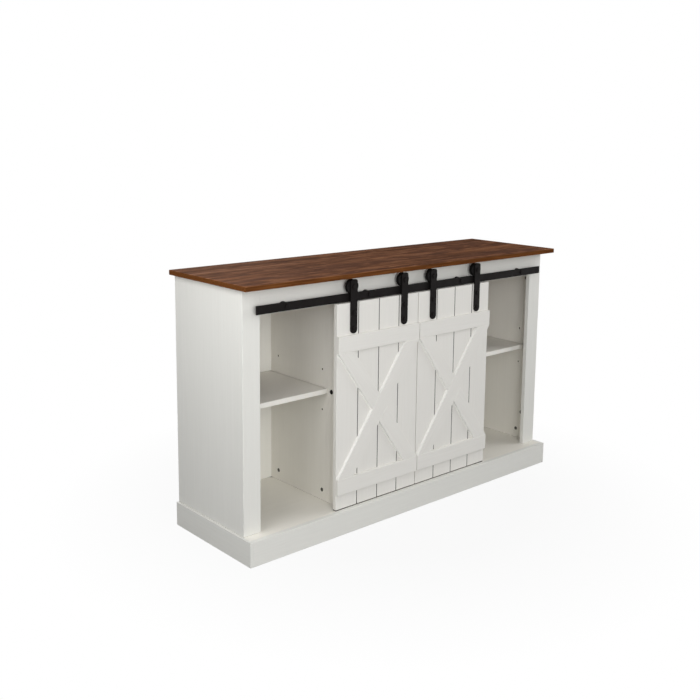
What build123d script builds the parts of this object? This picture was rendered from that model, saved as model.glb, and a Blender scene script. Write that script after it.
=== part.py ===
"""Sideboard buffet with two sliding barn doors on a flat rail, in millimetres.

Frame: X to the right, Y to the back, Z up, with the origin on the floor under the middle of the top.
"""
import os
from math import asin, atan2, hypot, sin

from build123d import *

os.makedirs("parts", exist_ok=True)

# Overall sizes
WIDTH = 1370.0  # top panel from side to side
DEPTH = 395.0  # top panel and plinth from front to back
HEIGHT = 810.0  # floor to the top surface
TOP_THICKNESS = 15.0
SIDE_OVERHANG = 20.0  # top beyond the side panels
FRONT_OVERHANG = 45.0  # top beyond the face frame

# Carcass
BOARD = 15.0  # sides, dividers and floor
CENTRE_BAY = 602.0  # clear width between the dividers
STILE_WIDTH = 60.0
FRAME_THICKNESS = 15.0  # stiles and apron
APRON_HEIGHT = 79.0
PLINTH_HEIGHT = 75.0
PLINTH_THICKNESS = 15.0
SKIRTING = 9.0  # thickness of the plinth's side boards
BACK_THICKNESS = 5.0
BACK_RECESS = 10.0  # back panels in from the rear edges
GROOVE_WALL = 5.0  # wood left in a divider between its two back grooves
BACK_FIT = 0.2
EASE = 0.6  # eased edges of the boards
TOP_EASE = 1.2

# Shelves and their pins
SHELF_THICKNESS = 15.0
SHELF_UNDER = 353.0  # clear height under the shelves
SIDE_SHELF_SETBACK = 30.0  # side shelves behind the uprights' front edges
SHELF_GAP = 0.5  # shelf ends and backs to the boards around them
PIN_RADIUS = 2.5
PIN_WALL = 1.0  # wood left behind a pin hole, from the middle of the board
PIN_REACH = 12.0  # into a shelf's end
PIN_INSET = 55.5  # pin rows in from the panels' front and rear edges
PIN_STEP = 64.0  # spare rows above and below a shelf

# Cam fittings, dowels and the centre shelf's bolts
CAM_RADIUS = 6.0
CAM_WALL = 4.5  # wood left under a cam
CAM_SETBACK = 34.0  # cam centre in from the joint
CAM_SLOT = 1.6
CAM_SLOT_DEPTH = 1.5
CAM_BOLT_RADIUS = 3.0
CAM_BOLT_BITE = 10.0  # into the board that is pulled on
STILE_CAM_INSET = 102.0  # stile cams from the floor and from the top
DOWEL_RADIUS = 4.0
DOWEL_BITE = 10.0  # into a board's face
DOWEL_REACH = 20.0  # into a board's end
RUNNER_DOWEL_Z = 30.0
FLOOR_DOWEL_SPACING = 300.0
APRON_DOWEL_SPACING = 44.0
HOLE_FIT = 0.15  # radial play of pins, bolts and dowels in their holes
SHELF_BOLT_RADIUS = 3.5
SHELF_BOLT_REACH = 30.0
SHELF_BOLT_CLEARANCE = 10.5  # head to a side shelf's front edge
SHELF_BOLT_HEAD_RADIUS = 7.5
SHELF_BOLT_HEAD = 2.0

# Rail and its fixings
RAIL_HEIGHT = 25.0
RAIL_THICKNESS = 5.0
RAIL_END_INSET = 33.0  # rail ends in from the body's sides
RAIL_EASE = 0.6
SPACER_LENGTH = 17.5
SPACER_FLANGE_RADIUS = 12.5
SPACER_FLANGE = 5.0
SPACER_RADIUS = 8.5
OUTER_BOLT_INSET = 106.0  # from the rail's end
INNER_BOLT_INSET = 93.0  # from the divider's inner face
BOLT_RADIUS = 3.0
BOLT_HEAD_RADIUS = 7.0
BOLT_HEAD = 4.0
HEAD_EASE = 1.4
NUT_RADIUS = 5.8  # to the corners of the hexagon
NUT_HEIGHT = 5.0

# Wheels and hanger straps
TREAD_RADIUS = 19.5
FLANGE_RADIUS = 22.0
WHEEL_WIDTH = 13.6
RAIL_PLAY = 0.5  # each side of the rail in the wheel's groove
FLANGE_EASE = 0.8
ROLL_GAP = 0.2  # tread to rail
WHEEL_HEADROOM = 6.0  # wheel to the top panel
WHEEL_SIDE_GAP = 0.2
AXLE_RADIUS = 4.0
AXLE_PLAY = 0.06
AXLE_COLLAR = 2.0
AXLE_COLLAR_RADIUS = 7.0
AXLE_HEAD_RADIUS = 8.0
AXLE_HEAD = 4.0
AXLE_NUT_RADIUS = 7.5
STRAP_WIDTH = 27.0
STRAP_THICKNESS = 4.0
STRAP_HEADROOM = 5.5  # strap to the top panel
STRAP_TOP_ROUND = 8.0
STRAP_INSET = 64.0  # strap centre from the door's edge
STRAP_BATTEN_GAP = 3.0  # strap end over the top batten
STRAP_BOLT_RISE = 17.0  # lower bolt above the strap's end
STRAP_BOLT_SPACING = 48.0
STRAP_EASE = 0.6

# Doors
DOOR_THICKNESS = 15.0
DOOR_OVERLAP = 27.5  # door beyond the divider's outer face
MEETING_GAP = 3.0
DOOR_RAIL_GAP = 3.0
DOOR_FLOOR_GAP = 3.0
PLANKS = 4
PLANK_GROOVE = 3.0
PLANK_GROOVE_DEPTH = 4.0
DOOR_EASE = 1.0
BATTEN_WIDTH = 51.0
BATTEN_THICKNESS = 9.0
BATTEN_EASE = 1.0
TOP_BATTEN_DROP = 98.0  # from the door's top edge
BOTTOM_BATTEN_RISE = 48.0  # from the door's bottom edge
BRACE_WIDTH = 51.0

# Floor guides, each a blade in a stopped groove under its door
GUIDE_INSET = 21.0  # guide centre from the door's outer edge
GUIDE_BLADE = 4.0
GUIDE_BLADE_LENGTH = 24.0
GUIDE_BLADE_HEIGHT = 10.0
GUIDE_SLOT_PLAY = 1.0  # each side of the blade
GUIDE_SLOT_HEADROOM = 2.0
GUIDE_STOP_GAP = 0.5
GUIDE_PLATE = 2.0
GUIDE_PLATE_LENGTH = 40.0
GUIDE_PLATE_WIDTH = 13.0
GUIDE_SCREW_SPACING = 33.0
SCREW_RADIUS = 1.6
SCREW_HEAD_RADIUS = 3.0
SCREW_HEAD = 1.0
SCREW_LENGTH = 12.0

# Sides of small round pieces and holes, kept few because there are many of them
PEG_SIDES = 6
HEAD_SIDES = 10
CAM_SIDES = 8
SPACER_SIDES = 12
WHEEL_SIDES = 24
END_SIDES = 24
SHANK_SIDES = 12
LARGEST_PEG = 4.5  # radius up to which a hole has a peg's sides

# Positions that follow from the sizes
half_width = WIDTH / 2
body_half = half_width - SIDE_OVERHANG
side_inner = body_half - BOARD
divider_inner = CENTRE_BAY / 2
divider_outer = divider_inner + BOARD
front_y = -DEPTH / 2
back_y = DEPTH / 2
body_front = front_y + FRONT_OVERHANG
panel_front = body_front + FRAME_THICKNESS
back_rear = back_y - BACK_RECESS
back_front = back_rear - BACK_THICKNESS
groove_depth = (BOARD - GROOVE_WALL) / 2
top_under = HEIGHT - TOP_THICKNESS
floor_top = PLINTH_HEIGHT
floor_under = floor_top - BOARD
plinth_rear = front_y + PLINTH_THICKNESS
back_plinth_front = back_y - PLINTH_THICKNESS
stile_inner = body_half - STILE_WIDTH
apron_under = top_under - APRON_HEIGHT
frame_mid = (body_front + panel_front) / 2
shelf_bottom = floor_top + SHELF_UNDER
shelf_mid = shelf_bottom + SHELF_THICKNESS / 2
shelf_rear = back_front - SHELF_GAP
side_shelf_front = panel_front + SIDE_SHELF_SETBACK
shelf_bolt_y = side_shelf_front - SHELF_BOLT_CLEARANCE - SHELF_BOLT_HEAD_RADIUS
pin_rows = (panel_front + PIN_INSET, back_y - PIN_INSET)
pin_depth = BOARD / 2 - PIN_WALL
cam_depth = BOARD - CAM_WALL
cam_levels = (floor_top + CAM_SETBACK, top_under - CAM_SETBACK)
stile_cam_levels = (floor_top + STILE_CAM_INSET, top_under - STILE_CAM_INSET)
stile_cam_y = panel_front + CAM_SETBACK

rail_back = body_front - SPACER_LENGTH
rail_front = rail_back - RAIL_THICKNESS
rail_mid = (rail_back + rail_front) / 2
rail_half = body_half - RAIL_END_INSET
wheel_z = top_under - WHEEL_HEADROOM - FLANGE_RADIUS
rail_top = wheel_z - TREAD_RADIUS - ROLL_GAP
rail_bottom = rail_top - RAIL_HEIGHT
rail_z = (rail_top + rail_bottom) / 2
outer_bolt_x = rail_half - OUTER_BOLT_INSET
inner_bolt_x = divider_inner - INNER_BOLT_INSET
rail_bolt_xs = (-outer_bolt_x, -inner_bolt_x, inner_bolt_x, outer_bolt_x)

wheel_front = rail_mid - WHEEL_WIDTH / 2
wheel_back = rail_mid + WHEEL_WIDTH / 2
door_front = wheel_front - WHEEL_SIDE_GAP - AXLE_COLLAR
door_back = door_front + DOOR_THICKNESS
door_mid_y = (door_front + door_back) / 2
door_bottom = floor_top + DOOR_FLOOR_GAP
door_top = rail_bottom - DOOR_RAIL_GAP
door_inner = MEETING_GAP / 2
door_outer = divider_outer + DOOR_OVERLAP
door_width = door_outer - door_inner
strap_front = door_front - STRAP_THICKNESS
strap_top = top_under - STRAP_HEADROOM
top_batten_top = door_top - TOP_BATTEN_DROP
top_batten_under = top_batten_top - BATTEN_WIDTH
bottom_batten_under = door_bottom + BOTTOM_BATTEN_RISE
bottom_batten_top = bottom_batten_under + BATTEN_WIDTH
strap_bottom = top_batten_top + STRAP_BATTEN_GAP
strap_bolt_zs = (strap_bottom + STRAP_BOLT_RISE, strap_bottom + STRAP_BOLT_RISE + STRAP_BOLT_SPACING)

# The long brace runs corner to corner: one edge starts at the low corner, the other ends at the high one
brace_height = top_batten_under - bottom_batten_top
brace_angle = atan2(brace_height, door_width) + asin(BRACE_WIDTH / hypot(door_width, brace_height))
brace_cut = BRACE_WIDTH / sin(brace_angle)

guide_x = door_outer - GUIDE_INSET
guide_slot_end = GUIDE_INSET - GUIDE_BLADE_LENGTH / 2 - GUIDE_STOP_GAP
guide_slot_length = door_width - 2 * guide_slot_end
guide_slot_width = GUIDE_BLADE + 2 * GUIDE_SLOT_PLAY
guide_slot_depth = GUIDE_BLADE_HEIGHT - DOOR_FLOOR_GAP + GUIDE_SLOT_HEADROOM
guide_screw_xs = (-GUIDE_SCREW_SPACING / 2, GUIDE_SCREW_SPACING / 2)

RIGHT, LEFT = (1, 0, 0), (-1, 0, 0)
REAR, FRONT = (0, 1, 0), (0, -1, 0)
UP, DOWN = (0, 0, 1), (0, 0, -1)


def facing(x, y, z, normal):
    """Work plane at a point of a face, with the face's outward normal."""
    return Plane(origin=(x, y, z), z_dir=normal)


def front_plane(y):
    """Upright work plane whose sketch x and y are the cabinet's X and Z and whose normal points forward."""
    return Plane.XZ.offset(-y)


def span(low_high):
    return low_high[1] - low_high[0]


def middle(low_high):
    return (low_high[0] + low_high[1]) / 2


def mirrored(side, low, high):
    """Low and high X of something on one side of the middle, -1 for left and 1 for right."""
    return tuple(sorted((side * low, side * high)))


def hole_sides(radius):
    return PEG_SIDES if radius <= LARGEST_PEG else CAM_SIDES


def save(piece, name):
    piece.part.label = name
    export_step(piece.part, f"parts/{name}.step")


def drilled_board(name, xs, ys, zs, holes=(), ease=EASE):
    """Board or bar with eased edges and sets of holes, each set with its planes, radius and depth."""
    with BuildPart() as piece:
        with BuildSketch(Plane.XY.offset(zs[0])):
            with Locations((middle(xs), middle(ys))):
                Rectangle(span(xs), span(ys))
        extrude(amount=span(zs))
        chamfer(piece.edges(), ease)
        for planes, radius, depth in holes:
            for plane in planes:
                with BuildSketch(plane):
                    RegularPolygon(radius, hole_sides(radius), major_radius=False)
            extrude(amount=-depth, mode=Mode.SUBTRACT)
    save(piece, name)


def pegs(name, sets):
    """Group of plain pegs, each set with its planes, radius and reach behind and ahead of the planes."""
    with BuildPart() as piece:
        for planes, radius, behind, ahead in sets:
            for plane in planes:
                with BuildSketch(plane.offset(-behind)):
                    RegularPolygon(radius, PEG_SIDES)
            extrude(amount=behind + ahead)
    save(piece, name)


def headed_bolts(name, planes, shank, head, shank_length, head_height):
    """Group of bolts whose heads sit on the given planes and whose shanks run the other way."""
    with BuildPart() as piece:
        for plane in planes:
            with BuildSketch(plane):
                RegularPolygon(head, HEAD_SIDES)
        extrude(amount=head_height)
        head_faces = piece.faces().filter_by(Axis(planes[0].origin, planes[0].z_dir))
        outer = [f for f in head_faces if any((f.center() - p.origin).dot(p.z_dir) > head_height / 2
                                              and f.normal_at().dot(p.z_dir) > 0 for p in planes)]
        chamfer([edge for face in outer for edge in face.edges()], HEAD_EASE)
        for plane in planes:
            with BuildSketch(plane):
                RegularPolygon(shank, PEG_SIDES)
        extrude(amount=-shank_length)
    save(piece, name)


def hex_nuts(name, sets):
    """Group of hexagon nuts, each set with its planes, corner radius and bore."""
    with BuildPart() as piece:
        for planes, radius, bore in sets:
            for plane in planes:
                with BuildSketch(plane):
                    RegularPolygon(radius, 6)
                    RegularPolygon(bore, PEG_SIDES, major_radius=False, mode=Mode.SUBTRACT)
        extrude(amount=NUT_HEIGHT)
    save(piece, name)


# Where the upright boards stand, as side, inner and outer X, and the normal of the face with cams
UPRIGHTS = {
    "left_side_panel": ((-body_half, -side_inner), RIGHT),
    "right_side_panel": ((side_inner, body_half), LEFT),
    "left_divider": ((-divider_outer, -divider_inner), LEFT),
    "right_divider": ((divider_inner, divider_outer), RIGHT),
}
upright_mids = [middle(xs) for xs, normal in UPRIGHTS.values()]
stile_cam_mids = [middle(UPRIGHTS[name][0]) for name in ("left_side_panel", "right_side_panel")]

# Dowel joints, as points on the faces that meet
runner_xs = (-middle((side_inner, body_half)), 0.0, middle((side_inner, body_half)))
floor_dowel_xs = [(i - 1.5) * FLOOR_DOWEL_SPACING for i in range(4)]
floor_mid = (floor_top + floor_under) / 2
apron_mid = (apron_under + top_under) / 2
apron_dowel_zs = (apron_mid - APRON_DOWEL_SPACING / 2, apron_mid + APRON_DOWEL_SPACING / 2)
dowel_hole = DOWEL_RADIUS + HOLE_FIT
bolt_hole = CAM_BOLT_RADIUS + HOLE_FIT

# Top panel, drilled from below for the cam bolts
top_holes = [([facing(x, y, top_under, DOWN) for x in upright_mids for y in pin_rows],
              bolt_hole, CAM_BOLT_BITE + HOLE_FIT)]
drilled_board("top_panel", (-half_width, half_width), (front_y, back_y), (top_under, HEIGHT),
              top_holes, TOP_EASE)


def upright(name):
    """Side panel or divider with its cam holes, bolt holes, shelf pin holes and back grooves."""
    xs, cam_normal = UPRIGHTS[name]
    is_divider = "divider" in name
    cam_face = xs[1] if cam_normal == RIGHT else xs[0]
    faces = [(xs[0], LEFT), (xs[1], RIGHT)] if is_divider else [(cam_face, cam_normal)]
    cams = [facing(cam_face, y, z, cam_normal) for y in pin_rows for z in cam_levels]
    bolts = [facing(middle(xs), y, floor_top, DOWN) for y in pin_rows]
    bolts += [facing(middle(xs), y, top_under, UP) for y in pin_rows]
    pins = [facing(x, y, shelf_mid + row * PIN_STEP, normal)
            for x, normal in faces for y in pin_rows for row in (-1, 0, 1)]
    holes = [(pins, PIN_RADIUS + HOLE_FIT, pin_depth)]
    if is_divider:
        shelf_bolt = [facing(cam_face, shelf_bolt_y, shelf_mid, cam_normal)]
        holes.append((shelf_bolt, SHELF_BOLT_RADIUS + HOLE_FIT, BOARD))
    else:
        cams += [facing(cam_face, stile_cam_y, z, cam_normal) for z in stile_cam_levels]
        bolts += [facing(middle(xs), panel_front, z, FRONT) for z in stile_cam_levels]
    holes += [(bolts, bolt_hole, CAM_SETBACK), (cams, CAM_RADIUS + HOLE_FIT, cam_depth)]
    with BuildPart() as piece:
        with BuildSketch(Plane.XY.offset(floor_top)):
            with Locations((middle(xs), middle((panel_front, back_y)))):
                Rectangle(BOARD, back_y - panel_front)
        extrude(amount=top_under - floor_top)
        chamfer(piece.edges(), EASE)
        with BuildSketch(Plane.XY.offset(floor_top)):
            with Locations(*[(x, middle((back_front, back_rear))) for x, normal in faces]):
                Rectangle(2 * groove_depth, BACK_THICKNESS + 2 * BACK_FIT)
        extrude(amount=top_under - floor_top, mode=Mode.SUBTRACT)
        for planes, radius, depth in holes:
            for plane in planes:
                with BuildSketch(plane):
                    RegularPolygon(radius, hole_sides(radius), major_radius=False)
            extrude(amount=-depth, mode=Mode.SUBTRACT)
    save(piece, name)


for upright_name in UPRIGHTS:
    upright(upright_name)

# Floor panel on the plinth, in front of it the plinth's front board
floor_holes = [
    ([facing(x, y, floor_top, UP) for x in upright_mids for y in pin_rows],
     bolt_hole, CAM_BOLT_BITE + HOLE_FIT),
    ([facing(x, plinth_rear, floor_mid, FRONT) for x in floor_dowel_xs], dowel_hole, DOWEL_REACH + HOLE_FIT),
    ([facing(side * guide_x + x, door_mid_y, floor_top, UP) for side in (-1, 1) for x in guide_screw_xs],
     SCREW_RADIUS + HOLE_FIT, SCREW_LENGTH)]
drilled_board("floor_panel", (-body_half, body_half), (plinth_rear, back_y), (floor_under, floor_top),
              floor_holes)

front_dowels = [facing(x, plinth_rear, RUNNER_DOWEL_Z, REAR) for x in runner_xs]
front_dowels += [facing(x, plinth_rear, floor_mid, REAR) for x in floor_dowel_xs]
drilled_board("plinth_front", (-body_half, body_half), (front_y, plinth_rear), (0, PLINTH_HEIGHT),
              [(front_dowels, dowel_hole, DOWEL_BITE + HOLE_FIT)])

back_dowels = [facing(x, back_plinth_front, RUNNER_DOWEL_Z, FRONT) for x in runner_xs]
drilled_board("plinth_back", (-body_half, body_half), (back_plinth_front, back_y), (0, floor_under),
              [(back_dowels, dowel_hole, DOWEL_BITE + HOLE_FIT)])

for side, side_name in ((-1, "left"), (1, "right")):
    drilled_board(f"{side_name}_plinth_side", mirrored(side, body_half, body_half + SKIRTING),
                  (front_y, back_y), (0, PLINTH_HEIGHT))

# Runners under the floor panel: one below each side panel and one in the middle
with BuildPart() as plinth_runners:
    with BuildSketch():
        with Locations(*[(x, middle((plinth_rear, back_plinth_front))) for x in runner_xs]):
            Rectangle(BOARD, back_plinth_front - plinth_rear)
    extrude(amount=floor_under)
    for end_y, normal in ((plinth_rear, FRONT), (back_plinth_front, REAR)):
        for x in runner_xs:
            with BuildSketch(facing(x, end_y, RUNNER_DOWEL_Z, normal)):
                RegularPolygon(dowel_hole, PEG_SIDES, major_radius=False)
    extrude(amount=-(DOWEL_REACH + HOLE_FIT), mode=Mode.SUBTRACT)
save(plinth_runners, "plinth_runners")

# Face frame: two stiles with the apron between them
for side, side_name in ((-1, "left"), (1, "right")):
    panel_mid = side * middle((side_inner, body_half))
    inward = RIGHT if side < 0 else LEFT
    stile_bolts = [facing(panel_mid, panel_front, z, REAR) for z in stile_cam_levels]
    stile_dowels = [facing(side * stile_inner, frame_mid, z, inward) for z in apron_dowel_zs]
    stile_holes = [(stile_bolts, bolt_hole, CAM_BOLT_BITE + HOLE_FIT),
                   (stile_dowels, dowel_hole, DOWEL_REACH + HOLE_FIT)]
    drilled_board(f"{side_name}_stile", mirrored(side, stile_inner, body_half), (body_front, panel_front),
                  (floor_top, top_under), stile_holes)

apron_bolts = [facing(x, body_front, rail_z, FRONT) for x in rail_bolt_xs]
apron_dowels = [facing(side * stile_inner, frame_mid, z, normal)
                for side, normal in ((-1, LEFT), (1, RIGHT)) for z in apron_dowel_zs]
apron_holes = [(apron_bolts, BOLT_RADIUS + HOLE_FIT, FRAME_THICKNESS),
               (apron_dowels, dowel_hole, DOWEL_REACH + HOLE_FIT)]
drilled_board("apron", (-stile_inner, stile_inner), (body_front, panel_front), (apron_under, top_under),
              apron_holes)

# Back panels in the grooves of the uprights, one for each bay
side_back = (divider_outer - groove_depth + BACK_FIT, side_inner + groove_depth - BACK_FIT)
centre_back = divider_inner + groove_depth - BACK_FIT
for panel_name, panel_xs in (("left_back_panel", mirrored(-1, *side_back)),
                             ("centre_back_panel", (-centre_back, centre_back)),
                             ("right_back_panel", mirrored(1, *side_back))):
    drilled_board(panel_name, panel_xs, (back_front, back_rear), (floor_top, top_under))

# Shelves with pin holes in their ends; the centre shelf is deeper and bolted through the dividers
side_shelf = (divider_outer + SHELF_GAP, side_inner - SHELF_GAP)
centre_shelf = divider_inner - SHELF_GAP
for shelf_name, shelf_xs, shelf_front in (
        ("left_shelf", mirrored(-1, *side_shelf), side_shelf_front),
        ("centre_shelf", (-centre_shelf, centre_shelf), panel_front),
        ("right_shelf", mirrored(1, *side_shelf), side_shelf_front)):
    ends = ((shelf_xs[0], LEFT), (shelf_xs[1], RIGHT))
    shelf_holes = [([facing(x, y, shelf_mid, normal) for x, normal in ends for y in pin_rows],
                    PIN_RADIUS + HOLE_FIT, PIN_REACH + HOLE_FIT)]
    if shelf_name == "centre_shelf":
        shelf_holes.append(([facing(x, shelf_bolt_y, shelf_mid, normal) for x, normal in ends],
                            SHELF_BOLT_RADIUS + HOLE_FIT, SHELF_BOLT_REACH + HOLE_FIT))
    drilled_board(shelf_name, shelf_xs, (shelf_front, shelf_rear),
                  (shelf_bottom, shelf_bottom + SHELF_THICKNESS), shelf_holes)

# Pins in the shelves' ends: each starts in an upright and reaches into a shelf
bay_ends = [(-side_inner, RIGHT), (-divider_outer, LEFT), (-divider_inner, RIGHT),
            (divider_inner, LEFT), (divider_outer, RIGHT), (side_inner, LEFT)]
pegs("shelf_pins", [([facing(x, y, shelf_mid, normal) for x, normal in bay_ends for y in pin_rows],
                     PIN_RADIUS, pin_depth - HOLE_FIT, SHELF_GAP + PIN_REACH)])

headed_bolts("centre_shelf_bolts",
             [facing(side * divider_outer, shelf_bolt_y, shelf_mid, normal)
              for side, normal in ((-1, LEFT), (1, RIGHT))],
             SHELF_BOLT_RADIUS, SHELF_BOLT_HEAD_RADIUS, BOARD + SHELF_BOLT_REACH, SHELF_BOLT_HEAD)

# Cams in the uprights and the bolts that they pull on
cam_faces = []
for xs, cam_normal in UPRIGHTS.values():
    cam_face = xs[1] if cam_normal == RIGHT else xs[0]
    cam_faces += [facing(cam_face, y, z, cam_normal) for y in pin_rows for z in cam_levels]
cam_faces += [facing(side * side_inner, stile_cam_y, z, normal)
              for side, normal in ((-1, RIGHT), (1, LEFT)) for z in stile_cam_levels]
with BuildPart() as cam_locks:
    for cam_plane in cam_faces:
        with BuildSketch(cam_plane):
            RegularPolygon(CAM_RADIUS, CAM_SIDES)
    extrude(amount=-(cam_depth - HOLE_FIT))
    for cam_plane in cam_faces:
        with BuildSketch(cam_plane):
            Rectangle(2 * CAM_RADIUS - CAM_SLOT, CAM_SLOT)
    extrude(amount=-CAM_SLOT_DEPTH, mode=Mode.SUBTRACT)
save(cam_locks, "cam_locks")

bolt_free = CAM_SETBACK - CAM_RADIUS - 2 * HOLE_FIT
cam_bolts = [facing(x, y, floor_top, UP) for x in upright_mids for y in pin_rows]
cam_bolts += [facing(x, y, top_under, DOWN) for x in upright_mids for y in pin_rows]
cam_bolts += [facing(x, panel_front, z, REAR) for x in stile_cam_mids for z in stile_cam_levels]
pegs("cam_bolts", [(cam_bolts, CAM_BOLT_RADIUS, CAM_BOLT_BITE, bolt_free)])

board_dowels = [facing(x, plinth_rear, RUNNER_DOWEL_Z, REAR) for x in runner_xs]
board_dowels += [facing(x, back_plinth_front, RUNNER_DOWEL_Z, FRONT) for x in runner_xs]
board_dowels += [facing(x, plinth_rear, floor_mid, REAR) for x in floor_dowel_xs]
frame_dowels = [facing(side * stile_inner, frame_mid, z, RIGHT) for side in (-1, 1) for z in apron_dowel_zs]
pegs("dowels", [(board_dowels, DOWEL_RADIUS, DOWEL_BITE, DOWEL_REACH),
                (frame_dowels, DOWEL_RADIUS, DOWEL_REACH, DOWEL_REACH)])

# Flat rail on stepped spacers, bolted through the apron
rail_holes = [([facing(x, rail_front, rail_z, FRONT) for x in rail_bolt_xs],
               BOLT_RADIUS + HOLE_FIT, RAIL_THICKNESS)]
drilled_board("slide_rail", (-rail_half, rail_half), (rail_front, rail_back), (rail_bottom, rail_top),
              rail_holes, RAIL_EASE)

with BuildPart() as rail_spacers:
    with BuildSketch(front_plane(body_front)):
        with Locations(*[(x, rail_z) for x in rail_bolt_xs]):
            RegularPolygon(SPACER_FLANGE_RADIUS, SPACER_SIDES)
    extrude(amount=SPACER_FLANGE)
    with BuildSketch(front_plane(body_front - SPACER_FLANGE)):
        with Locations(*[(x, rail_z) for x in rail_bolt_xs]):
            RegularPolygon(SPACER_RADIUS, SPACER_SIDES)
    extrude(amount=SPACER_LENGTH - SPACER_FLANGE)
    with BuildSketch(front_plane(rail_back)):
        with Locations(*[(x, rail_z) for x in rail_bolt_xs]):
            RegularPolygon(BOLT_RADIUS + HOLE_FIT, PEG_SIDES, major_radius=False)
    extrude(amount=-SPACER_LENGTH, mode=Mode.SUBTRACT)
save(rail_spacers, "rail_spacers")

rail_bolt_length = RAIL_THICKNESS + SPACER_LENGTH + FRAME_THICKNESS + NUT_HEIGHT
headed_bolts("rail_bolts", [facing(x, rail_front, rail_z, FRONT) for x in rail_bolt_xs],
             BOLT_RADIUS, BOLT_HEAD_RADIUS, rail_bolt_length, BOLT_HEAD)
hex_nuts("rail_nuts", [([facing(x, panel_front, rail_z, REAR) for x in rail_bolt_xs],
                        NUT_RADIUS, BOLT_RADIUS + HOLE_FIT)])


def floor_guide(name, x):
    """Plate on the floor panel with an upright blade for the door's groove."""
    with BuildPart() as piece:
        with BuildSketch(Plane.XY.offset(floor_top)):
            with Locations((x, door_mid_y)):
                Rectangle(GUIDE_PLATE_LENGTH, GUIDE_PLATE_WIDTH)
        extrude(amount=GUIDE_PLATE)
        with BuildSketch(Plane.XY.offset(floor_top)):
            with Locations((x, door_mid_y)):
                Rectangle(GUIDE_BLADE_LENGTH, GUIDE_BLADE)
        extrude(amount=GUIDE_BLADE_HEIGHT)
        for radius, depth in ((SCREW_RADIUS, GUIDE_PLATE), (SCREW_HEAD_RADIUS, SCREW_HEAD + HOLE_FIT)):
            with BuildSketch(Plane.XY.offset(floor_top + GUIDE_PLATE)):
                with Locations(*[(x + dx, door_mid_y) for dx in guide_screw_xs]):
                    RegularPolygon(radius + HOLE_FIT, PEG_SIDES, major_radius=False)
            extrude(amount=-depth, mode=Mode.SUBTRACT)
    save(piece, name)


floor_guide("left_floor_guide", -guide_x)
floor_guide("right_floor_guide", guide_x)

screw_seat = floor_top + GUIDE_PLATE - SCREW_HEAD - HOLE_FIT
screw_spots = [(side * guide_x + dx, door_mid_y) for side in (-1, 1) for dx in guide_screw_xs]
with BuildPart() as guide_screws:
    with BuildSketch(Plane.XY.offset(screw_seat)):
        with Locations(*screw_spots):
            RegularPolygon(SCREW_HEAD_RADIUS, PEG_SIDES)
    extrude(amount=SCREW_HEAD)
    with BuildSketch(Plane.XY.offset(screw_seat)):
        with Locations(*screw_spots):
            RegularPolygon(SCREW_RADIUS, PEG_SIDES)
    extrude(amount=-(SCREW_LENGTH - SCREW_HEAD))
save(guide_screws, "guide_screws")


def door_panel(name, xs, strap_xs):
    """Door leaf with routed plank grooves, the guide groove below and the strap bolts' holes."""
    with BuildPart() as piece:
        with BuildSketch(front_plane(door_back)):
            with Locations((middle(xs), middle((door_bottom, door_top)))):
                Rectangle(span(xs), door_top - door_bottom)
        extrude(amount=DOOR_THICKNESS)
        chamfer(piece.edges(), DOOR_EASE)
        with BuildSketch(Plane.XY.offset(door_bottom)):
            for i in range(1, PLANKS):
                groove_x = xs[0] + i * span(xs) / PLANKS
                Polygon((groove_x - PLANK_GROOVE, door_front - PLANK_GROOVE_DEPTH),
                        (groove_x + PLANK_GROOVE, door_front - PLANK_GROOVE_DEPTH),
                        (groove_x, door_front + PLANK_GROOVE_DEPTH), align=None)
        extrude(amount=door_top - door_bottom, mode=Mode.SUBTRACT)
        with BuildSketch(Plane.XY.offset(door_bottom)):
            with Locations((middle(xs), door_mid_y)):
                Rectangle(guide_slot_length, guide_slot_width)
        extrude(amount=guide_slot_depth, mode=Mode.SUBTRACT)
        with BuildSketch(front_plane(door_front)):
            with Locations(*[(x, z) for x in strap_xs for z in strap_bolt_zs]):
                RegularPolygon(BOLT_RADIUS + HOLE_FIT, PEG_SIDES, major_radius=False)
        extrude(amount=-DOOR_THICKNESS, mode=Mode.SUBTRACT)
    save(piece, name)


def batten(name, corners, cut_corners=()):
    """Flat strip on the door's face with eased front edges, cut away inside the second outline."""
    with BuildPart() as piece:
        with BuildSketch(front_plane(door_front)):
            Polygon(*corners, align=None)
            if cut_corners:
                Polygon(*cut_corners, align=None, mode=Mode.SUBTRACT)
        extrude(amount=BATTEN_THICKNESS)
        chamfer(piece.faces().sort_by(Axis.Y)[0].edges(), BATTEN_EASE)
    save(piece, name)


def hanger_strap(name, x):
    """Flat strap with a round lower end, drilled for its axle and its two bolts."""
    end_round = STRAP_WIDTH / 2
    with BuildPart() as piece:
        with BuildSketch(front_plane(door_front)) as outline:
            with Locations((x, middle((strap_bottom + end_round, strap_top)))):
                Rectangle(STRAP_WIDTH, strap_top - strap_bottom - end_round)
            fillet(outline.vertices().group_by(Axis.Y)[-1], STRAP_TOP_ROUND)
            with Locations((x, strap_bottom + end_round)):
                RegularPolygon(end_round, END_SIDES)
            with Locations(*[(x, z) for z in strap_bolt_zs]):
                RegularPolygon(BOLT_RADIUS + HOLE_FIT, PEG_SIDES, major_radius=False, mode=Mode.SUBTRACT)
            with Locations((x, wheel_z)):
                RegularPolygon(AXLE_RADIUS + HOLE_FIT, PEG_SIDES, major_radius=False, mode=Mode.SUBTRACT)
        extrude(amount=STRAP_THICKNESS)
        chamfer(piece.faces().sort_by(Axis.Y)[0].outer_wire().edges(), STRAP_EASE)
    save(piece, name)


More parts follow.
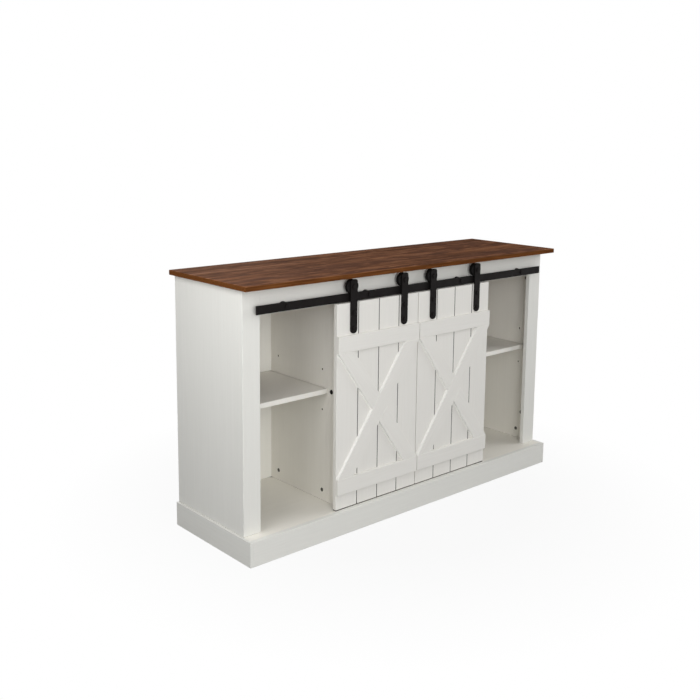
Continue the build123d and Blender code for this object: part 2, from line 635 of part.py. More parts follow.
def wheel(name, x):
    """Grooved wheel that straddles the rail: two flanges beside a tread, bored for the axle."""
    groove = RAIL_THICKNESS + 2 * RAIL_PLAY
    with BuildPart() as piece:
        with BuildSketch(front_plane(wheel_back)):
            with Locations((x, wheel_z)):
                RegularPolygon(FLANGE_RADIUS, WHEEL_SIDES)
        extrude(amount=WHEEL_WIDTH)
        rims = piece.faces().filter_by(Axis.Y).edges()
        chamfer(rims, FLANGE_EASE)
        with BuildSketch(front_plane(rail_mid + groove / 2)):
            with Locations((x, wheel_z)):
                RegularPolygon(FLANGE_RADIUS + FLANGE_EASE, WHEEL_SIDES)
                RegularPolygon(TREAD_RADIUS, WHEEL_SIDES, mode=Mode.SUBTRACT)
        extrude(amount=groove, mode=Mode.SUBTRACT)
        with Locations(facing(x, wheel_front, wheel_z, FRONT)):
            Hole(AXLE_RADIUS + AXLE_PLAY, WHEEL_WIDTH)
    save(piece, name)


def axle_bolts(name, xs):
    """Shoulder bolts: head on the strap, collar behind it, shank through the wheel to the nut."""
    shank_length = STRAP_THICKNESS + AXLE_COLLAR + 2 * WHEEL_SIDE_GAP + WHEEL_WIDTH + NUT_HEIGHT
    with BuildPart() as piece:
        with BuildSketch(front_plane(strap_front)):
            with Locations(*[(x, wheel_z) for x in xs]):
                RegularPolygon(AXLE_HEAD_RADIUS, HEAD_SIDES)
        extrude(amount=AXLE_HEAD)
        chamfer(piece.faces().group_by(Axis.Y)[0].edges(), HEAD_EASE)
        with BuildSketch(front_plane(strap_front)):
            with Locations(*[(x, wheel_z) for x in xs]):
                RegularPolygon(AXLE_RADIUS, SHANK_SIDES)
        extrude(amount=-shank_length)
        with BuildSketch(front_plane(door_front)):
            with Locations(*[(x, wheel_z) for x in xs]):
                RegularPolygon(AXLE_COLLAR_RADIUS, HEAD_SIDES)
        extrude(amount=-AXLE_COLLAR)
    save(piece, name)


# The doors differ only in their side: straps, wheels and guide groove are mirrored, the brace isn't
for side, side_name in ((-1, "left"), (1, "right")):
    door_xs = mirrored(side, door_inner, door_outer)
    strap_xs = {"outer": side * (door_outer - STRAP_INSET), "inner": side * (door_inner + STRAP_INSET)}
    door_panel(f"{side_name}_door_panel", door_xs, strap_xs.values())

    (x0, x1), z0, z1 = door_xs, bottom_batten_top, top_batten_under
    batten(f"{side_name}_door_top_batten",
           [(x0, z1), (x1, z1), (x1, top_batten_top), (x0, top_batten_top)])
    batten(f"{side_name}_door_bottom_batten",
           [(x0, bottom_batten_under), (x1, bottom_batten_under), (x1, z0), (x0, z0)])
    batten(f"{side_name}_door_long_brace",
           [(x0, z0), (x0 + brace_cut, z0), (x1, z1), (x1 - brace_cut, z1)])
    crossing = [(x1 - brace_cut, z0), (x1, z0), (x0 + brace_cut, z1), (x0, z1)]
    batten(f"{side_name}_door_upper_brace", crossing, [(x0, z0), (x1, z0), (x1, z1), (x1 - brace_cut, z1)])
    batten(f"{side_name}_door_lower_brace", crossing, [(x0, z0), (x0 + brace_cut, z0), (x1, z1), (x0, z1)])

    for strap_name, strap_x in strap_xs.items():
        hanger_strap(f"{side_name}_{strap_name}_strap", strap_x)
        wheel(f"{side_name}_{strap_name}_wheel", strap_x)
    headed_bolts(f"{side_name}_strap_bolts",
                 [facing(x, strap_front, z, FRONT) for x in strap_xs.values() for z in strap_bolt_zs],
                 BOLT_RADIUS, BOLT_HEAD_RADIUS, STRAP_THICKNESS + DOOR_THICKNESS + NUT_HEIGHT, BOLT_HEAD)
    axle_bolts(f"{side_name}_axle_bolts", strap_xs.values())
    strap_nuts = [facing(x, door_back, z, REAR) for x in strap_xs.values() for z in strap_bolt_zs]
    axle_nuts = [facing(x, wheel_back + WHEEL_SIDE_GAP, wheel_z, REAR) for x in strap_xs.values()]
    hex_nuts(f"{side_name}_hanger_nuts", [(strap_nuts, NUT_RADIUS, BOLT_RADIUS + HOLE_FIT),
                                          (axle_nuts, AXLE_NUT_RADIUS, AXLE_RADIUS + HOLE_FIT)])
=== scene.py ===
"""Looks for the sideboard buffet: materials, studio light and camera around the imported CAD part."""

import math

import bpy
from mathutils import Matrix, Vector


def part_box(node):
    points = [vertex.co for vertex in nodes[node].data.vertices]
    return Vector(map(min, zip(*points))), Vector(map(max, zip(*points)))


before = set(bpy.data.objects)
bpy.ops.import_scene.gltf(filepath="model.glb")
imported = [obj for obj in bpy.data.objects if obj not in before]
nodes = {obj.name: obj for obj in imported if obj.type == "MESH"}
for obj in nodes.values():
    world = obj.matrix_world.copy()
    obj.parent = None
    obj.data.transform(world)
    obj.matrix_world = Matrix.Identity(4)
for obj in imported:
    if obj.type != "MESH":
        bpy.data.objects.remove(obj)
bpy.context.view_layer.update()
scene = bpy.context.scene

# Camera, as fitted to the photograph's corners with the image taken as 700 by 700
IMAGE_SIZE = 700.0
FOCAL_PIXELS = 939.44
SENSOR_WIDTH = 36.0
CAMERA_AZIMUTH = math.radians(-41.657)
CAMERA_ELEVATION = math.radians(9.105)
CAMERA_ROLL = math.radians(-0.594)
CAMERA_TARGET = Vector((0.0, 0.0005, 0.405))
TARGET_IN_VIEW = Vector((0.09584, 0.32716, 3.18335))  # right, down and ahead of the lens
CAMERA_SHIFT_Y = -0.1

# Softboxes by azimuth (0 in front, -90 to the left), elevation, distance, size and power
SOFTBOXES = {
    "left_softbox": (-80.0, 26.0, 1.7, 0.9, 8.8),
    "front_softbox": (-35.0, 20.0, 3.2, 1.7, 20.5),
    "high_softbox": (-20.0, 55.0, 2.4, 1.4, 4.5),
    "low_softbox": (-20.0, 10.0, 3.2, 1.8, 27.0),
    "right_softbox": (60.0, 25.0, 3.2, 1.8, 33.0),
    "rear_softbox": (165.0, 12.0, 3.2, 1.8, 50.0),
}
AMBIENT = (0.10, 0.10, 0.10, 1.0)
WHITE = (1.0, 1.0, 1.0, 1.0)

# Studio floor, and the share of its shading that shows near the object and fades with distance
FLOOR_HALF = 6.0
FLOOR_DROP = 0.0005
FLOOR_COLOUR = (0.45, 0.45, 0.445, 1.0)
FLOOR_ROUGHNESS = 0.9
SHADOW_SHARE = 0.08
SHADOW_FULL_TO, SHADOW_GONE_AT = 0.50, 1.10

# Grain frequencies with the grain along X, Y or Z
ALONG_X = (3.5, 130.0, 130.0)
ALONG_Y = (130.0, 3.5, 130.0)
ALONG_Z = (130.0, 130.0, 3.5)
WALNUT_STREAKS = (1.3, 26.0, 26.0)
WALNUT_BANDS = (0.9, 9.0, 9.0)
WALNUT_PORES = (9.0, 260.0, 260.0)
WALNUT_FLECKS = (11.0, 48.0, 48.0)
ZINC_SCRATCHES = (90.0, 90.0, 2200.0)
BEECH_GRAIN = (60.0, 600.0, 600.0)

# Whites of the boards, each with the tone of its faint printed grain
CARCASS = ((0.778, 0.775, 0.738), (0.755, 0.751, 0.714))
# Painted light: the inside white is brighter than the outer one, to lift the shade in the bays
INSIDE_PAINTED_LIGHT = ((0.850, 0.827, 0.765), (0.828, 0.804, 0.741))
SHELF = ((0.785, 0.763, 0.708), (0.764, 0.742, 0.686))
# Painted highlight: a brighter white on the shelves' front edges
SHELF_EDGE_PAINTED_HIGHLIGHT = ((0.885, 0.866, 0.808), (0.866, 0.846, 0.787))
DOOR = ((0.805, 0.790, 0.752), (0.780, 0.764, 0.725))
BACK = ((0.870, 0.860, 0.805), (0.848, 0.837, 0.780))
# Painted light on the braces' narrow sides: a painted highlight on the rising braces, and a brighter
# white still on the falling braces to cancel their shade
RISING_EDGE_PAINTED_HIGHLIGHT = ((0.912, 0.906, 0.884), (0.894, 0.888, 0.864))
FALLING_EDGE_PAINTED_LIGHT = ((0.945, 0.938, 0.912), (0.928, 0.921, 0.894))
# Painted shade in the plank grooves, dark at their bottom and walls
GROOVE_PAINTED_SHADE = ((0.150, 0.146, 0.138), (0.095, 0.092, 0.087))
# Battens and braces: a deeper emboss and a stronger painted highlight along their edges
STRIP_EMBOSS_AND_HIGHLIGHT = {"emboss": 0.3, "edge_highlight": 0.9}

# How a board's pores and the painted highlight along its edges differ from it
PORE_FINENESS = 4.0
PORE_TONE = 0.90
EDGE_HIGHLIGHT_TONE = 1.16
LEAST_EDGE_HIGHLIGHT = 0.4
WHITEST = 0.95

# Painted shade in shut-in places: how shut in a place is where the painted shade starts and where it is
# darkest, and its share there
DOOR_GAP_PAINTED_SHADE = (0.46, 0.24, 1.0)
CORNER_PAINTED_SHADE = (0.85, 0.50, 0.30)
PAINTED_SHADE_REACH = 0.02
PAINTED_SHADE_COLOUR = (0.05, 0.046, 0.041)

# Walnut tones from dark to light, those of its bands, flecks, pores and edges, and the painted
# highlight along its arrises
WALNUT_TONES = [(0.32, (0.107, 0.045, 0.025)), (0.45, (0.238, 0.101, 0.050)),
                (0.57, (0.358, 0.153, 0.072)), (0.70, (0.522, 0.237, 0.119))]
WALNUT_BAND_TONE = (0.139, 0.063, 0.043)
WALNUT_DARK_FLECK = (0.091, 0.040, 0.025)
WALNUT_LIGHT_FLECK = (0.487, 0.229, 0.119)
WALNUT_PORE_TONE = (0.088, 0.042, 0.027)
WALNUT_EDGE_TONES = [(0.35, (0.088, 0.030, 0.009)), (0.65, (0.170, 0.063, 0.019))]
WALNUT_EDGE_HIGHLIGHT = (0.26, 0.12, 0.05)

# Other tones
CORE_TONES = [(0.32, (0.030, 0.019, 0.011)), (0.52, (0.075, 0.049, 0.029)),
              (0.70, (0.150, 0.102, 0.062))]
BEECH_TONES = [(0.3, (0.52, 0.33, 0.17)), (0.7, (0.70, 0.50, 0.30))]
STEEL, STEEL_WORN, STEEL_SMUDGED = (0.0060, 0.0050, 0.0048), (0.020, 0.018, 0.017), 1.45
WHEEL_BLACK, GUIDE_BLACK, PLASTIC_DUSTED = (0.0085, 0.0080, 0.0078), (0.024, 0.024, 0.024), 1.9
ZINC_BRIGHT, ZINC_DULL = (0.56, 0.56, 0.55), (0.36, 0.36, 0.35)
CAM_BRIGHT, CAM_DULL = (0.20, 0.195, 0.18), (0.10, 0.098, 0.09)

# Usual spread of a noise, how far textures are shifted between pieces, and widths of the edge masks:
# painted highlight on the boards and the walnut, wear on the steel
NOISE_LOW, NOISE_HIGH = 0.3, 0.7
PIECE_SPREAD = 3.0
BOARD_EDGE, WALNUT_EDGE, STEEL_EDGE = 0.0016, 0.002, 0.0012
EDGE_FLAT, EDGE_SHARP = 0.99, 0.80
EDGE_SAMPLES, PAINTED_SHADE_SAMPLES = 6, 8

# Tests on a mesh's faces: depth inside a board's outline, and how squarely a face looks one way
HOLE_MARGIN = 0.001
GROOVE_MARGIN = 0.002
FACING = 0.5

# Facets of round pieces are shaded smoothly up to this angle between them
SMOOTH_LIMIT = math.radians(40.0)
MERGE_DISTANCE = 1e-6


def scaled(colour, factor):
    return tuple(min(WHITEST, c * factor) for c in colour)


class Graph:
    """One node tree, with short ways to add and join nodes."""

    def __init__(self, tree):
        self.tree = tree
        self.tree.nodes.clear()

    def join(self, source, target):
        self.tree.links.new(source, target)

    def feed(self, socket, value):
        """Joins another socket to this one, or sets this one to a plain value."""
        if isinstance(value, bpy.types.NodeSocket):
            self.join(value, socket)
        else:
            socket.default_value = value

    def node(self, kind, values=None, **settings):
        made = self.tree.nodes.new(kind)
        for key, value in settings.items():
            setattr(made, key, value)
        for key, value in (values or {}).items():
            self.feed(made.inputs[key], value)
        return made

    def math(self, operation, a, b=0.0):
        return self.node("ShaderNodeMath", {0: a, 1: b}, operation=operation).outputs[0]

    def vector(self, operation, *values):
        made = self.node("ShaderNodeVectorMath", dict(enumerate(values)), operation=operation)
        return made.outputs["Value" if operation in ("DOT_PRODUCT", "LENGTH") else "Vector"]

    def seen(self):
        """1 for the rays that show the white studio: from the camera, mirrored or passed through."""
        path = self.node("ShaderNodeLightPath").outputs
        direct = self.math("MAXIMUM", path["Is Camera Ray"], path["Is Glossy Ray"])
        return self.math("MAXIMUM", direct, path["Is Transmission Ray"])


class Shader(Graph):
    """Node tree of one material, from textures to its surface shader."""

    def __init__(self, name):
        self.material = bpy.data.materials.new(name)
        self.material.use_nodes = True
        super().__init__(self.material.node_tree)
        self.output = self.node("ShaderNodeOutputMaterial")
        self.surface = self.node("ShaderNodeBsdfPrincipled")
        self.join(self.surface.outputs["BSDF"], self.output.inputs["Surface"])

    def set(self, **values):
        """Sets or joins the surface shader's sockets, with _ for the spaces in their names."""
        for key, value in values.items():
            self.feed(self.surface.inputs[key.replace("_", " ")], value)

    def share(self, a, b, part):
        """Sum of two values, of which the first makes up a part."""
        return self.math("ADD", self.math("MULTIPLY", a, part), self.math("MULTIPLY", b, 1.0 - part))

    def remap(self, value, low, high, to_low=0.0, to_high=1.0):
        made = self.node("ShaderNodeMapRange", {"Value": value, "From Min": low, "From Max": high,
                                                "To Min": to_low, "To Max": to_high})
        return made.outputs["Result"]

    def vary(self, value, at_low=0.0, at_high=1.0):
        """Number that follows a noise over its usual spread."""
        return self.remap(value, NOISE_LOW, NOISE_HIGH, at_low, at_high)

    def blend(self, factor, a, b):
        made = self.node("ShaderNodeMix", {"Factor": factor}, data_type="RGBA")
        for name, value in (("A", a), ("B", b)):
            socket = next(s for s in made.inputs if s.name == name and s.type == "RGBA")
            self.feed(socket, (*value, 1.0) if isinstance(value, tuple) else value)
        return next(s for s in made.outputs if s.type == "RGBA")

    def ramp(self, value, stops):
        made = self.node("ShaderNodeValToRGB", {"Fac": value})
        elements = made.color_ramp.elements
        while len(elements) < len(stops):
            elements.new(1.0)
        for element, (place, colour) in zip(elements, stops):
            element.position = place
            element.color = (*colour, 1.0)
        return made.outputs["Color"]

    def place(self, along=(1.0, 1.0, 1.0), turn=0.0):
        """Object coordinates turned about Y and stretched, shifted differently for each piece."""
        coords = self.node("ShaderNodeTexCoord").outputs["Object"]
        chance = self.node("ShaderNodeObjectInfo").outputs["Random"]
        shift = self.math("MULTIPLY", chance, PIECE_SPREAD)
        shifts = self.node("ShaderNodeCombineXYZ", {"X": shift, "Y": shift, "Z": shift}).outputs[0]
        turned = self.node("ShaderNodeVectorRotate", {"Vector": self.vector("ADD", coords, shifts),
                                                      "Angle": turn}, rotation_type="Y_AXIS")
        return self.node("ShaderNodeMapping", {"Vector": turned.outputs[0], "Scale": along}).outputs[0]

    def noise(self, where, scale=1.0, detail=4.0, roughness=0.55, distortion=0.0):
        made = self.node("ShaderNodeTexNoise", {"Vector": where, "Scale": scale, "Detail": detail,
                                                "Roughness": roughness, "Distortion": distortion})
        return made.outputs["Fac"]

    def normal(self):
        return self.node("ShaderNodeNewGeometry").outputs["Normal"]

    def bump(self, height, strength, distance):
        made = self.node("ShaderNodeBump", {"Height": height, "Strength": strength,
                                            "Distance": distance})
        self.join(made.outputs["Normal"], self.surface.inputs["Normal"])

    def edges(self, radius):
        """About 1 along edges and corners within the radius, and 0 on flat faces."""
        bevel = self.node("ShaderNodeBevel", {"Radius": radius}, samples=EDGE_SAMPLES)
        facing = self.vector("DOT_PRODUCT", bevel.outputs["Normal"], self.normal())
        return self.remap(facing, EDGE_FLAT, EDGE_SHARP)

    def edge_wear_and_highlight(self, radius, noise, low, high, least, most):
        """Mask along edges, from least to most as a noise goes from low to high: wear on the steel,
        painted highlight on the boards and the walnut.
        """
        return self.math("MULTIPLY", self.edges(radius), self.remap(noise, low, high, least, most))


def painted_board(name, white, along, turn=0.0, emboss=0.25, edge_highlight=0.5, dust_and_painted_shade=None):
    """White foil with a faint printed and embossed grain and a painted highlight along the edges,
    uneven like wear, with painted shade where it is shut in if asked.
    """
    light, shade = white
    s = Shader(name)
    streaks = s.noise(s.place(along, turn), detail=7.0, roughness=0.60, distortion=0.5)
    fine = tuple(a * PORE_FINENESS for a in along)
    pores = s.noise(s.place(fine, turn), detail=3.0, roughness=0.5)
    clouds = s.noise(s.place(), scale=2.2, detail=2.0)
    tone = s.share(streaks, clouds, part=0.75)
    colour = s.blend(s.remap(tone, low=0.34, high=0.64), shade, light)
    lines = s.remap(pores, low=0.30, high=0.42, to_low=0.22, to_high=0.0)
    colour = s.blend(lines, colour, scaled(shade, PORE_TONE))
    # Painted highlight along the edges, a lighter white broken up by a noise like wear
    highlight_breaks = s.noise(s.place(), scale=60.0)
    wear_and_highlight = s.edge_wear_and_highlight(BOARD_EDGE, highlight_breaks, low=0.42, high=0.68, least=LEAST_EDGE_HIGHLIGHT * edge_highlight, most=edge_highlight)
    colour = s.blend(wear_and_highlight, colour, scaled(light, EDGE_HIGHLIGHT_TONE))
    # Painted shade: darker where nearby geometry shuts the board in, as under the doors and in the
    # shelves' corners
    if dust_and_painted_shade:
        clear, closed, share = dust_and_painted_shade
        air = s.node("ShaderNodeAmbientOcclusion", {"Distance": PAINTED_SHADE_REACH}, samples=PAINTED_SHADE_SAMPLES)
        painted_shade_mask = s.remap(air.outputs["AO"], clear, closed, to_low=0.0, to_high=share)
        colour = s.blend(painted_shade_mask, colour, PAINTED_SHADE_COLOUR)
    s.set(Base_Color=colour, Roughness=s.vary(pores, 0.66, 0.48), Specular_IOR_Level=0.3)
    s.bump(s.share(streaks, pores, part=0.5), strength=emboss, distance=0.0006)
    return s.material


def groove_painted_shade(name, light, dark):
    """Painted shade in a plank groove, dark and mottled."""
    s = Shader(name)
    dust_and_painted_shade = s.noise(s.place(), scale=120.0, detail=5.0)
    runs = s.noise(s.place(ALONG_Z), detail=4.0)
    tone = s.share(dust_and_painted_shade, runs, part=0.5)
    s.set(Base_Color=s.blend(s.remap(tone, low=0.35, high=0.65), dark, light),
          Roughness=s.vary(dust_and_painted_shade, 0.75, 0.9), Specular_IOR_Level=0.1)
    s.bump(dust_and_painted_shade, strength=0.3, distance=0.0003)
    return s.material


def raw_core(name):
    """Brown pressed-wood core, as a drill bares it."""
    s = Shader(name)
    chips = s.noise(s.place(), scale=420.0, detail=5.0, roughness=0.65)
    s.set(Base_Color=s.ramp(chips, CORE_TONES), Roughness=s.vary(chips, 0.92, 0.78),
          Specular_IOR_Level=0.1)
    s.bump(chips, strength=0.5, distance=0.0005)
    return s.material


def walnut_top(name):
    """Streaky reddish walnut with the grain along the top, redder edges and a painted highlight along
    the arrises.
    """
    s = Shader(name)
    streaks = s.noise(s.place(WALNUT_STREAKS), detail=9.0, roughness=0.60, distortion=0.9)
    bands = s.noise(s.place(WALNUT_BANDS), detail=4.0, roughness=0.5, distortion=1.4)
    fine = s.noise(s.place(WALNUT_PORES), detail=4.0, roughness=0.6)
    flecks = s.noise(s.place(WALNUT_FLECKS), detail=5.0, roughness=0.65, distortion=0.6)
    base = s.ramp(streaks, WALNUT_TONES)
    for noise, low, high, to_low, to_high, tone in (
            (bands, 0.46, 0.64, 0.0, 0.8, WALNUT_BAND_TONE),
            (flecks, 0.50, 0.36, 0.0, 0.75, WALNUT_DARK_FLECK),
            (flecks, 0.52, 0.66, 0.0, 0.55, WALNUT_LIGHT_FLECK),
            (fine, 0.34, 0.54, 0.6, 0.0, WALNUT_PORE_TONE)):
        base = s.blend(s.remap(noise, low, high, to_low, to_high), base, tone)
    up = s.node("ShaderNodeSeparateXYZ", {0: s.normal()}).outputs["Z"]
    edge = s.remap(s.math("ABSOLUTE", up), low=0.75, high=0.35)
    colour = s.blend(edge, base, s.ramp(fine, WALNUT_EDGE_TONES))
    # Painted highlight along the arrises, varied by the bands
    wear_and_highlight = s.edge_wear_and_highlight(WALNUT_EDGE, bands, low=0.4, high=0.6, least=0.25, most=0.65)
    colour = s.blend(wear_and_highlight, colour, WALNUT_EDGE_HIGHLIGHT)
    s.set(Base_Color=colour, Roughness=s.vary(streaks, 0.80, 0.66), Specular_IOR_Level=0.004)
    s.bump(s.share(streaks, fine, part=0.4), strength=0.22, distance=0.0006)
    return s.material


def coated_steel(name, colour, worn_colour):
    """Matte black powder coat with a fine orange-peel and greyer edges."""
    s = Shader(name)
    peel = s.noise(s.place(), scale=900.0, detail=2.0)
    smudges = s.noise(s.place(), scale=35.0, detail=4.0)
    wear_and_highlight = s.edge_wear_and_highlight(STEEL_EDGE, smudges, low=0.4, high=0.65, least=0.15, most=0.7)
    tone = s.blend(s.vary(smudges), colour, scaled(colour, STEEL_SMUDGED))
    s.set(Base_Color=s.blend(wear_and_highlight, tone, worn_colour), Metallic=0.0,
          Roughness=s.vary(smudges, 0.66, 0.52), Specular_IOR_Level=0.07)
    s.bump(peel, strength=0.18, distance=0.0002)
    return s.material


def turned_plastic(name, colour):
    """Moulded black plastic with faint turning rings about Y."""
    s = Shader(name)
    box = s.node("ShaderNodeTexCoord").outputs["Generated"]
    centred = s.vector("SUBTRACT", box, (0.5, 0.5, 0.5))
    rings = s.node("ShaderNodeTexWave", {"Vector": centred, "Scale": 14.0, "Distortion": 0.4},
                   wave_type="RINGS", rings_direction="Y").outputs["Fac"]
    dust_and_painted_shade = s.noise(s.place(), scale=160.0, detail=3.0)
    dusted = s.remap(dust_and_painted_shade, low=0.45, high=0.75)
    s.set(Base_Color=s.blend(dusted, colour, scaled(colour, PLASTIC_DUSTED)),
          Roughness=s.vary(dust_and_painted_shade, 0.48, 0.64), Specular_IOR_Level=0.09)
    s.bump(rings, strength=0.1, distance=0.0002)
    return s.material


def zinc(name, bright, dull):
    """Dull plated steel with fine scratches."""
    s = Shader(name)
    scratches = s.noise(s.place(ZINC_SCRATCHES), detail=3.0)
    stains = s.noise(s.place(), scale=220.0, detail=4.0)
    s.set(Base_Color=s.blend(s.remap(stains, low=0.35, high=0.7), bright, dull), Metallic=1.0,
          Roughness=s.vary(scratches, 0.32, 0.52))
    s.bump(scratches, strength=0.12, distance=0.0002)
    return s.material


def raw_beech(name):
    """Plain beech of the dowels."""
    s = Shader(name)
    grain = s.noise(s.place(BEECH_GRAIN), detail=5.0)
    s.set(Base_Color=s.ramp(grain, BEECH_TONES), Roughness=s.vary(grain, 0.6, 0.78))
    s.bump(grain, strength=0.2, distance=0.0003)
    return s.material


long_low, long_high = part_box("left_door_long_brace")
rise = math.atan2(long_high.z - long_low.z, long_high.x - long_low.x)

looks = {
    "walnut": walnut_top("walnut_top"),
    "upright": painted_board("white_upright", CARCASS, ALONG_Z, emboss=0.08),
    "level": painted_board("white_level", CARCASS, ALONG_X),
    # The inside white is painted light that lifts the shade in the bays
    "inside_upright": painted_board("white_inside_upright_painted_light", INSIDE_PAINTED_LIGHT, ALONG_Z, emboss=0.10),
    # The shelves' corners and the floor's gap under the doors take painted shade
    "inside_level": painted_board("white_inside_level_painted_shade", SHELF, ALONG_X, dust_and_painted_shade=CORNER_PAINTED_SHADE),
    "shelf_edge": painted_board("white_shelf_edge_painted_highlight", SHELF_EDGE_PAINTED_HIGHLIGHT, ALONG_X),
    "floor": painted_board("white_floor", INSIDE_PAINTED_LIGHT, ALONG_X, dust_and_painted_shade=DOOR_GAP_PAINTED_SHADE),
    "plinth_side": painted_board("white_plinth_side", CARCASS, ALONG_Y),
    "door": painted_board("white_door", DOOR, ALONG_Z, emboss=0.15),
    "batten": painted_board("white_batten", DOOR, ALONG_X, **STRIP_EMBOSS_AND_HIGHLIGHT),
    "rising": painted_board("white_rising_brace", DOOR, ALONG_X, rise, **STRIP_EMBOSS_AND_HIGHLIGHT),
    "falling": painted_board("white_falling_brace", DOOR, ALONG_X, -rise, **STRIP_EMBOSS_AND_HIGHLIGHT),
    "rising_edge": painted_board("white_rising_edge_painted_highlight", RISING_EDGE_PAINTED_HIGHLIGHT, ALONG_X, rise),
    "falling_edge": painted_board("white_falling_edge_painted_light", FALLING_EDGE_PAINTED_LIGHT, ALONG_X, -rise),
    "back": painted_board("white_back", BACK, ALONG_Z, emboss=0.12),
    "groove": groove_painted_shade("groove_painted_shade", *GROOVE_PAINTED_SHADE),
    "core": raw_core("raw_core"),
    "steel": coated_steel("black_steel", STEEL, STEEL_WORN),
    "wheel": turned_plastic("black_wheel", WHEEL_BLACK),
    "guide": turned_plastic("black_guide", GUIDE_BLACK),
    "zinc": zinc("zinc", ZINC_BRIGHT, ZINC_DULL),
    "cam": zinc("dark_zinc", CAM_BRIGHT, CAM_DULL),
    "beech": raw_beech("raw_beech"),
}
DRILLED_LOOKS = ("walnut", "upright", "inside_upright", "level", "inside_level", "floor",
                 "plinth_side", "door", "back")
ROUND_LOOKS = ("steel", "wheel", "guide", "zinc", "cam", "beech")

# The look that a node takes, by its whole name or else by the first of these words in it
LOOK_OF_NAME = {
    "top_panel": "walnut", "floor_panel": "floor", "plinth_runners": "plinth_side",
    "dowels": "beech", "cam_locks": "cam", "cam_bolts": "zinc", "shelf_pins": "zinc",
    "rail_nuts": "zinc", "guide_screws": "zinc", "centre_shelf_bolts": "steel",
}
LOOK_OF_WORD = {
    "back_panel": "back", "door_panel": "door", "batten": "batten", "long_brace": "rising",
    "upper_brace": "falling", "lower_brace": "falling", "wheel": "wheel", "floor_guide": "guide",
    "hanger_nuts": "zinc", "rail": "steel", "strap": "steel", "axle": "steel",
    "plinth_side": "plinth_side", "divider": "inside_upright", "shelf": "inside_level",
    "side_panel": "upright", "stile": "upright",
}


def look_of(name):
    """Which look a CAD node takes. Boards that no word names lie level."""
    words = (look for word, look in LOOK_OF_WORD.items() if word in name)
    return LOOK_OF_NAME.get(name) or next(words, "level")


def dress(name, look, chosen):
    """Adds a look to a node, for the faces that a test chooses."""
    mesh = nodes[name].data
    mesh.materials.append(looks[look])
    for face in mesh.polygons:
        if chosen(face):
            face.material_index = len(mesh.materials) - 1


def outline(name):
    """Lowest and highest corners of a node's own mesh."""
    points = [v.co for v in nodes[name].data.vertices]
    return [[pick(p[axis] for p in points) for axis in range(3)] for pick in (min, max)]


for name, node in nodes.items():
    node.data.materials.clear()
    node.data.materials.append(looks[look_of(name)])

# Faces well inside a board's outline are drilled holes, which bare its core
for name in nodes:
    if look_of(name) in DRILLED_LOOKS and name != "plinth_runners":
        low, high = outline(name)
        dress(name, "core", lambda face: all(
            a + HOLE_MARGIN < c < b - HOLE_MARGIN for a, c, b in zip(low, face.center, high)))

# The outer boards' faces towards the open bays take the inside look, a brighter white painted to lift
# their shade
for side, inward in (("left", 1.0), ("right", -1.0)):
    dress(f"{side}_side_panel", "inside_upright",
          lambda face: face.normal.x * inward > FACING and face.material_index == 0)

# The shelves' front edges take a painted highlight, a brighter white than the shelf
for side in ("left", "centre", "right"):
    dress(f"{side}_shelf", "shelf_edge",
          lambda face: face.normal.y < -FACING and face.material_index == 0)

# The narrow sides of the braces take painted light, a brighter white than their faces
for name in nodes:
    if look_of(name) in ("rising", "falling"):
        dress(name, f"{look_of(name)}_edge", lambda face: abs(face.normal.y) < FACING)


def in_groove(face, low, high):
    """Whether a face is a wall or the bottom of a groove between a door's planks."""
    between = low[0] + GROOVE_MARGIN < face.center.x < high[0] - GROOVE_MARGIN
    wall = abs(face.normal.x) > FACING
    bottom = face.normal.y < -FACING and face.center.y > low[1] + GROOVE_MARGIN
    return between and (wall or bottom)


# The grooves between the door's planks take painted shade
for side in ("left", "right"):
    low, high = outline(f"{side}_door_panel")
    dress(f"{side}_door_panel", "groove", lambda face: in_groove(face, low, high))


def round_facets(limit):
    """Modifier group that shades the facets of round pieces smoothly, up to an angle between them."""
    group = bpy.data.node_groups.new("round_facets", "GeometryNodeTree")
    for way in ("INPUT", "OUTPUT"):
        group.interface.new_socket("Geometry", in_out=way, socket_type="NodeSocketGeometry")
    steps = [group.nodes.new(kind) for kind in (
        "NodeGroupInput", "GeometryNodeRemoveAttribute", "GeometryNodeMergeByDistance",
        "GeometryNodeSetShadeSmooth", "GeometryNodeSetShadeSmooth", "NodeGroupOutput")]
    for before, after in zip(steps, steps[1:]):
        group.links.new(before.outputs[0], after.inputs["Geometry"])
    plain, merged, faces, edges = steps[1:5]
    plain.inputs["Name"].default_value = "custom_normal"
    merged.inputs["Distance"].default_value = MERGE_DISTANCE
    faces.domain, edges.domain = "FACE", "EDGE"
    edges.inputs["Shade Smooth"].default_value = False
    angle = group.nodes.new("GeometryNodeInputMeshEdgeAngle")
    sharp = group.nodes.new("FunctionNodeCompare")
    sharp.operation = "GREATER_THAN"
    group.links.new(angle.outputs["Unsigned Angle"], sharp.inputs[0])
    sharp.inputs[1].default_value = limit
    group.links.new(sharp.outputs[0], edges.inputs["Selection"])
    return group


smoothing = round_facets(SMOOTH_LIMIT)
for name, node in nodes.items():
    if look_of(name) in ROUND_LOOKS:
        node.modifiers.new("round_facets", "NODES").node_group = smoothing


def backdrop_surface(name):
    """Pale floor, white to the camera but for a soft shadow that fades with distance."""
    s = Shader(name)
    s.set(Base_Color=FLOOR_COLOUR, Roughness=FLOOR_ROUGHNESS, Specular_IOR_Level=0.0)
    away = s.vector("LENGTH", s.node("ShaderNodeTexCoord").outputs["Object"])
    whiteness = s.remap(away, SHADOW_FULL_TO, SHADOW_GONE_AT, 1.0 - SHADOW_SHARE, 1.0)
    white = s.node("ShaderNodeEmission", {"Color": WHITE, "Strength": 1.0})
    mixed = s.node("ShaderNodeMixShader", {0: s.math("MULTIPLY", s.seen(), whiteness),
                                           1: s.surface.outputs["BSDF"], 2: white.outputs[0]})
    s.join(mixed.outputs[0], s.output.inputs["Surface"])
    return s.material


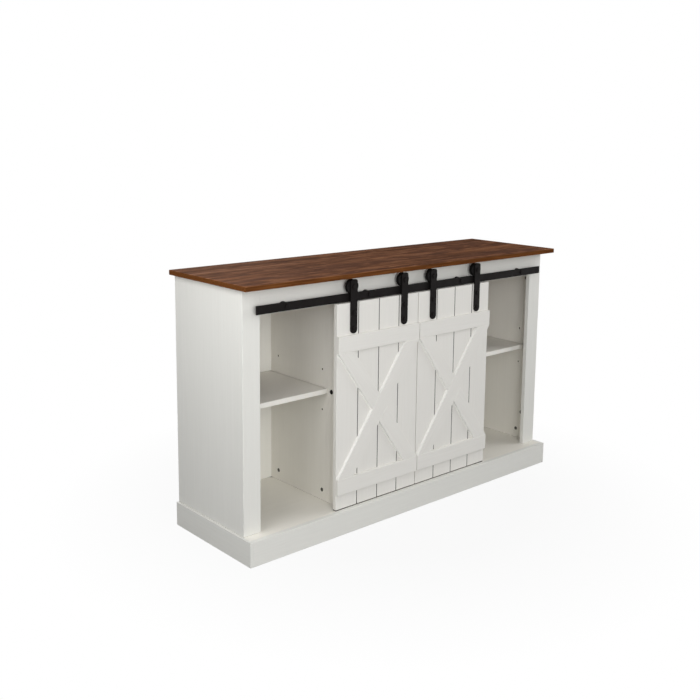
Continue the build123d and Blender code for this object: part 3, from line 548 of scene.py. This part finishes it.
floor_mesh = bpy.data.meshes.new("studio_floor")
floor_corners = [(x * FLOOR_HALF, y * FLOOR_HALF, 0.0) for x, y in ((-1, -1), (1, -1), (1, 1), (-1, 1))]
floor_mesh.from_pydata(floor_corners, [], [(0, 1, 2, 3)])
floor_mesh.materials.append(backdrop_surface("studio_floor"))
studio_floor = bpy.data.objects.new("studio_floor", floor_mesh)
studio_floor.location.z = -FLOOR_DROP
scene.collection.objects.link(studio_floor)

# The world is white where it is seen, and only a little light otherwise
world = bpy.data.worlds.new("studio")
world.use_nodes = True
scene.world = world
sky = Graph(world.node_tree)
ambient = sky.node("ShaderNodeBackground", {"Color": AMBIENT})
shown = sky.node("ShaderNodeBackground", {"Color": WHITE})
mixed = sky.node("ShaderNodeMixShader", {0: sky.seen(), 1: ambient.outputs[0], 2: shown.outputs[0]})
sky.node("ShaderNodeOutputWorld", {"Surface": mixed.outputs[0]})


def outward(azimuth, elevation):
    """Direction from the object to a place round it, with both angles in radians."""
    return Vector((math.sin(azimuth) * math.cos(elevation),
                   -math.cos(azimuth) * math.cos(elevation), math.sin(elevation)))


# Square area lights round the object, aimed at its middle
for name, (azimuth, elevation, distance, size, power) in SOFTBOXES.items():
    away = outward(math.radians(azimuth), math.radians(elevation))
    lamp_data = bpy.data.lights.new(name, "AREA")
    lamp_data.shape = "SQUARE"
    lamp_data.size = size
    lamp_data.energy = power
    lamp = bpy.data.objects.new(name, lamp_data)
    lamp.location = CAMERA_TARGET + away * distance
    lamp.rotation_mode = "QUATERNION"
    lamp.rotation_quaternion = away.to_track_quat("Z", "Y")
    scene.collection.objects.link(lamp)

# The camera's axes: back points from the object to the lens
back = outward(CAMERA_AZIMUTH, CAMERA_ELEVATION)
right = (-back).cross(Vector((0.0, 0.0, 1.0))).normalized()
down = (-back).cross(right)
right, down = (math.cos(CAMERA_ROLL) * right + math.sin(CAMERA_ROLL) * down,
               math.cos(CAMERA_ROLL) * down - math.sin(CAMERA_ROLL) * right)
lens = (CAMERA_TARGET - TARGET_IN_VIEW.x * right - TARGET_IN_VIEW.y * down
        + TARGET_IN_VIEW.z * back)
camera_data = bpy.data.cameras.new("camera")
camera_data.sensor_width = SENSOR_WIDTH
camera_data.lens = FOCAL_PIXELS * SENSOR_WIDTH / IMAGE_SIZE
camera_data.shift_y = CAMERA_SHIFT_Y
camera = bpy.data.objects.new("camera", camera_data)
camera.matrix_world = Matrix.Translation(lens) @ Matrix((right, -down, back)).transposed().to_4x4()
scene.collection.objects.link(camera)
scene.camera = camera

scene.view_settings.view_transform = "Standard"
